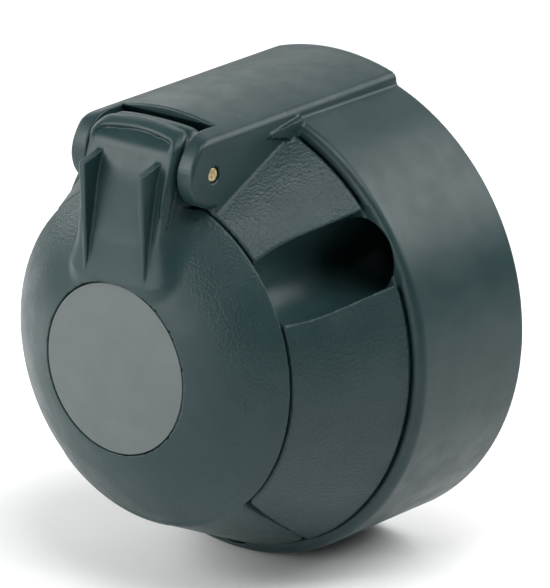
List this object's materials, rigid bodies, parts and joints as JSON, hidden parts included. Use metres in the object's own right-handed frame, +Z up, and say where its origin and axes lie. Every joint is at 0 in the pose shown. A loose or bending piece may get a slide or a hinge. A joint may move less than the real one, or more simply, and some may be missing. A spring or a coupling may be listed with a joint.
{
  "type": "trailer wiring socket",
  "caption": "Round plastic trailer lighting socket with a sprung hinged lid, bolt pockets in a tapered nose and a rear cable entry.",
  "frame": {"origin": "centre of the flat rear mounting face, on the axis of the round base", "axes": "+Y out of the rear face into the bracket, lid towards -Y, +Z up through the lid's hinge"},
  "size_m": [0.08, 0.0576, 0.0818],
  "materials": {
    "housing_plastic": "fine moulded texture",
    "lid_plastic": "satin in the middle, fine texture towards the rim",
    "badge_plastic": "smooth satin, blank",
    "carrier_plastic": "smooth moulded",
    "yellow_zinc": "yellow passivated zinc",
    "contact_brass": "turned",
    "screw_steel": "zinc plated",
    "spring_steel": "bright drawn wire",
    "black_rubber": "matt moulded rubber"
  },
  "bodies": {
    "housing": {"socket_housing": "housing_plastic", "hinge_pin": "yellow_zinc", "contact_carrier": "carrier_plastic", "contact_1": "contact_brass", "contact_2": "contact_brass", "contact_3": "contact_brass", "contact_4": "contact_brass", "contact_5": "contact_brass", "contact_6": "contact_brass", "contact_7": "contact_brass", "terminal_screw_1": "screw_steel", "terminal_screw_2": "screw_steel", "terminal_screw_3": "screw_steel", "terminal_screw_4": "screw_steel", "terminal_screw_5": "screw_steel", "terminal_screw_6": "screw_steel", "terminal_screw_7": "screw_steel", "carrier_screw_1": "screw_steel", "carrier_screw_2": "screw_steel", "carrier_screw_3": "screw_steel", "rear_seal": "black_rubber", "lid_spring": "spring_steel"},
    "lid": {"lid": "lid_plastic", "lid_badge": "badge_plastic", "lid_seal": "black_rubber"}
  },
  "joints": [
    {"name": "lid_hinge", "type": "hinge", "parent": "housing", "child": "lid", "pos_m": [0, -0.0471, 0.0332], "axis": [-1, 0, 0], "range_deg": [0, 98], "stiffness_Nm_per_rad": 0.05, "springref_deg": -34.38, "deforming": ["lid_spring"]}
  ]
}
